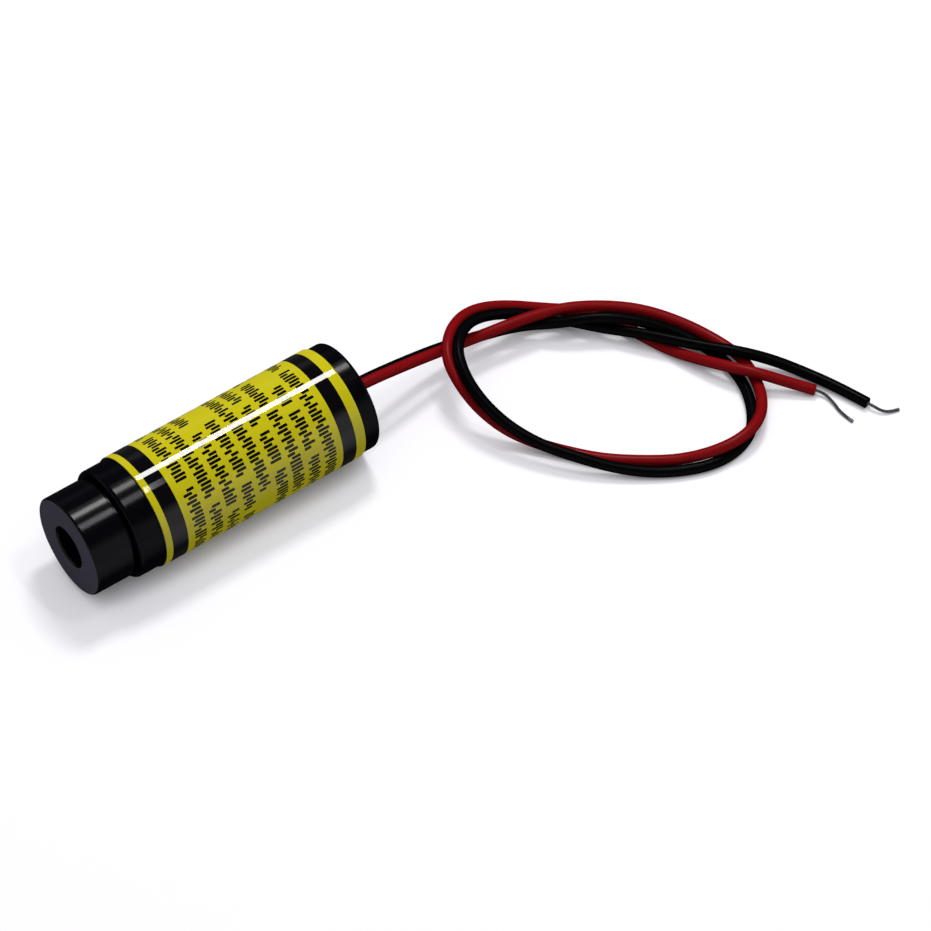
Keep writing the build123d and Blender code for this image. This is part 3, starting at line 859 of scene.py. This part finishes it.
def looked_at(paper):
    """1 for a ray that the eye or a reflection sends out, and 0 for light on its way."""
    rays = paper.node("ShaderNodeLightPath", output="Is Camera Ray")
    for kind in ("Is Glossy Ray", "Is Transmission Ray"):
        rays = rays.either(paper.node("ShaderNodeLightPath", output=kind))
    return rays


def make_table():
    """A flat white sheet at height 0."""
    mesh = bmesh.new()
    corners = [(-1, -1), (1, -1), (1, 1), (-1, 1)]
    mesh.faces.new([mesh.verts.new((x * table_half, y * table_half, 0.0)) for x, y in corners])
    data = bpy.data.meshes.new("table")
    mesh.to_mesh(data)
    mesh.free()
    sheet = bpy.data.objects.new("table", data)
    bpy.context.scene.collection.objects.link(sheet)
    material, paper, shader = start_material(
        "white_table", Roughness=0.9, Specular_IOR_Level=0.0, Emission_Strength=1.0,
    )
    white = grain(paper, 60.0).pick((0.595, 0.595, 0.61, 1.0), (0.605, 0.605, 0.62, 1.0))
    paper.feed(shader, "Base Color", white)
    air_settings = {"samples": shade_samples}
    # Painted shade: the sheet's own white fades where parts cover it from close by, darkest under the barrel
    # and the wires.
    open_air = paper.node("ShaderNodeAmbientOcclusion", air_settings, output="AO", Distance=shade_reach)
    own = open_air.ramp(shut_in, open_enough, white_left_in_painted_shade, 1.0).pick(grey(0.0), own_white)
    paper.feed(shader, "Emission Color", looked_at(paper).pick(grey(0.0), own))
    data.materials.append(material)
    return sheet


table = make_table()
print("table side in metres:", 2 * table_half)

# %% [markdown]
# The light.
# Two lamps hang over the module. Where they are can be read from the picture: a bright line runs along
# the top of the barrel and a faint one beside it, and a mirror on a round bar points straight at what
# it shows. Point lamps would draw dots there, and a sun would draw the same line everywhere, so each
# lamp is a rectangle. The first is large and bright and gives most of the light. The second is short
# and only draws the second line, on the nose and the collar, with a dim end that reaches the film.

# %% Hang the lamps
def hang_lamp(name, middle_x, towards, distance, width, length, brightness, colour):
    """A lamp over one place of the barrel, in a direction from it, with its length along the barrel."""
    data = bpy.data.lights.new(name, "AREA")
    data.shape = "RECTANGLE"
    data.size = length
    data.size_y = width
    data.energy = brightness * math.pi * length * width
    data.color = colour
    lamp = bpy.data.objects.new(name, data)
    direction = Vector(towards).normalized()
    along = (Vector((1.0, 0.0, 0.0)) - direction * direction.x).normalized()
    turn = Matrix((along, direction.cross(along), direction)).transposed()
    place = Vector((middle_x, 0.0, axis_z)) + direction * distance
    lamp.matrix_world = Matrix.Translation(place) @ turn.to_4x4()
    bpy.context.scene.collection.objects.link(lamp)
    return lamp


main_towards = (-0.34, -0.285, 0.896)
second_towards = (-0.32, 0.175, 0.93)
cool = (0.97, 0.98, 1.0)
warm = (1.0, 0.99, 0.97)
main_lamp = hang_lamp(
    "main_lamp", -3 * mm, main_towards, distance=0.45, width=0.078, length=0.095, brightness=42.0,
    colour=warm,
)
second_lamp = hang_lamp(
    "second_lamp", 16.0 * mm, second_towards, distance=0.30, width=0.060, length=0.0112, brightness=45.0,
    colour=cool,
)
dim_end = hang_lamp(
    "dim_end", 8.3 * mm, second_towards, distance=0.30, width=0.060, length=0.0029, brightness=3.6,
    colour=cool,
)
print("lamps:", main_lamp.name, second_lamp.name, dim_end.name)

# %% [markdown]
# The room.
# The photograph's soft light comes down through something like a white tent. A large lamp overhead
# could stand for it, but the world reaches everything evenly and costs no extra lamp. Its light is
# strongest straight above, so the sides fall off into shade. What the eye and the reflections see is
# another thing: a plain white wall beyond the table, under a dim ceiling, so that only the lamps draw
# lines on the black plastic.

# %% Fill the room
zenith_level = 0.85
horizon_level = 0.03
light_starts = 0.15
ceiling_level = 0.06
wall_ends = 0.30
ceiling_starts = 0.60
room_tint = (0.96, 0.95, 1.0, 1.0)


def make_room():
    """The world: soft light from above for matt surfaces, and a white wall under a dim ceiling to look at."""
    world = bpy.data.worlds.new("room")
    bpy.context.scene.world = world
    world.use_nodes = True
    paper = Socket(world.node_tree)
    shader = world.node_tree.nodes["Background"]
    height = paper.node("ShaderNodeTexCoord", output="Generated").split()[2]
    wall = height.ramp(wall_ends, ceiling_starts).pick(grey(1.0), grey(ceiling_level))
    fill = height.ramp(light_starts, 1.0).pick(grey(horizon_level), grey(zenith_level)) * room_tint
    paper.feed(shader, "Color", looked_at(paper).pick(fill, wall))


make_room()
bpy.context.scene.view_settings.view_transform = "Standard"
print("room levels:", zenith_level, horizon_level)
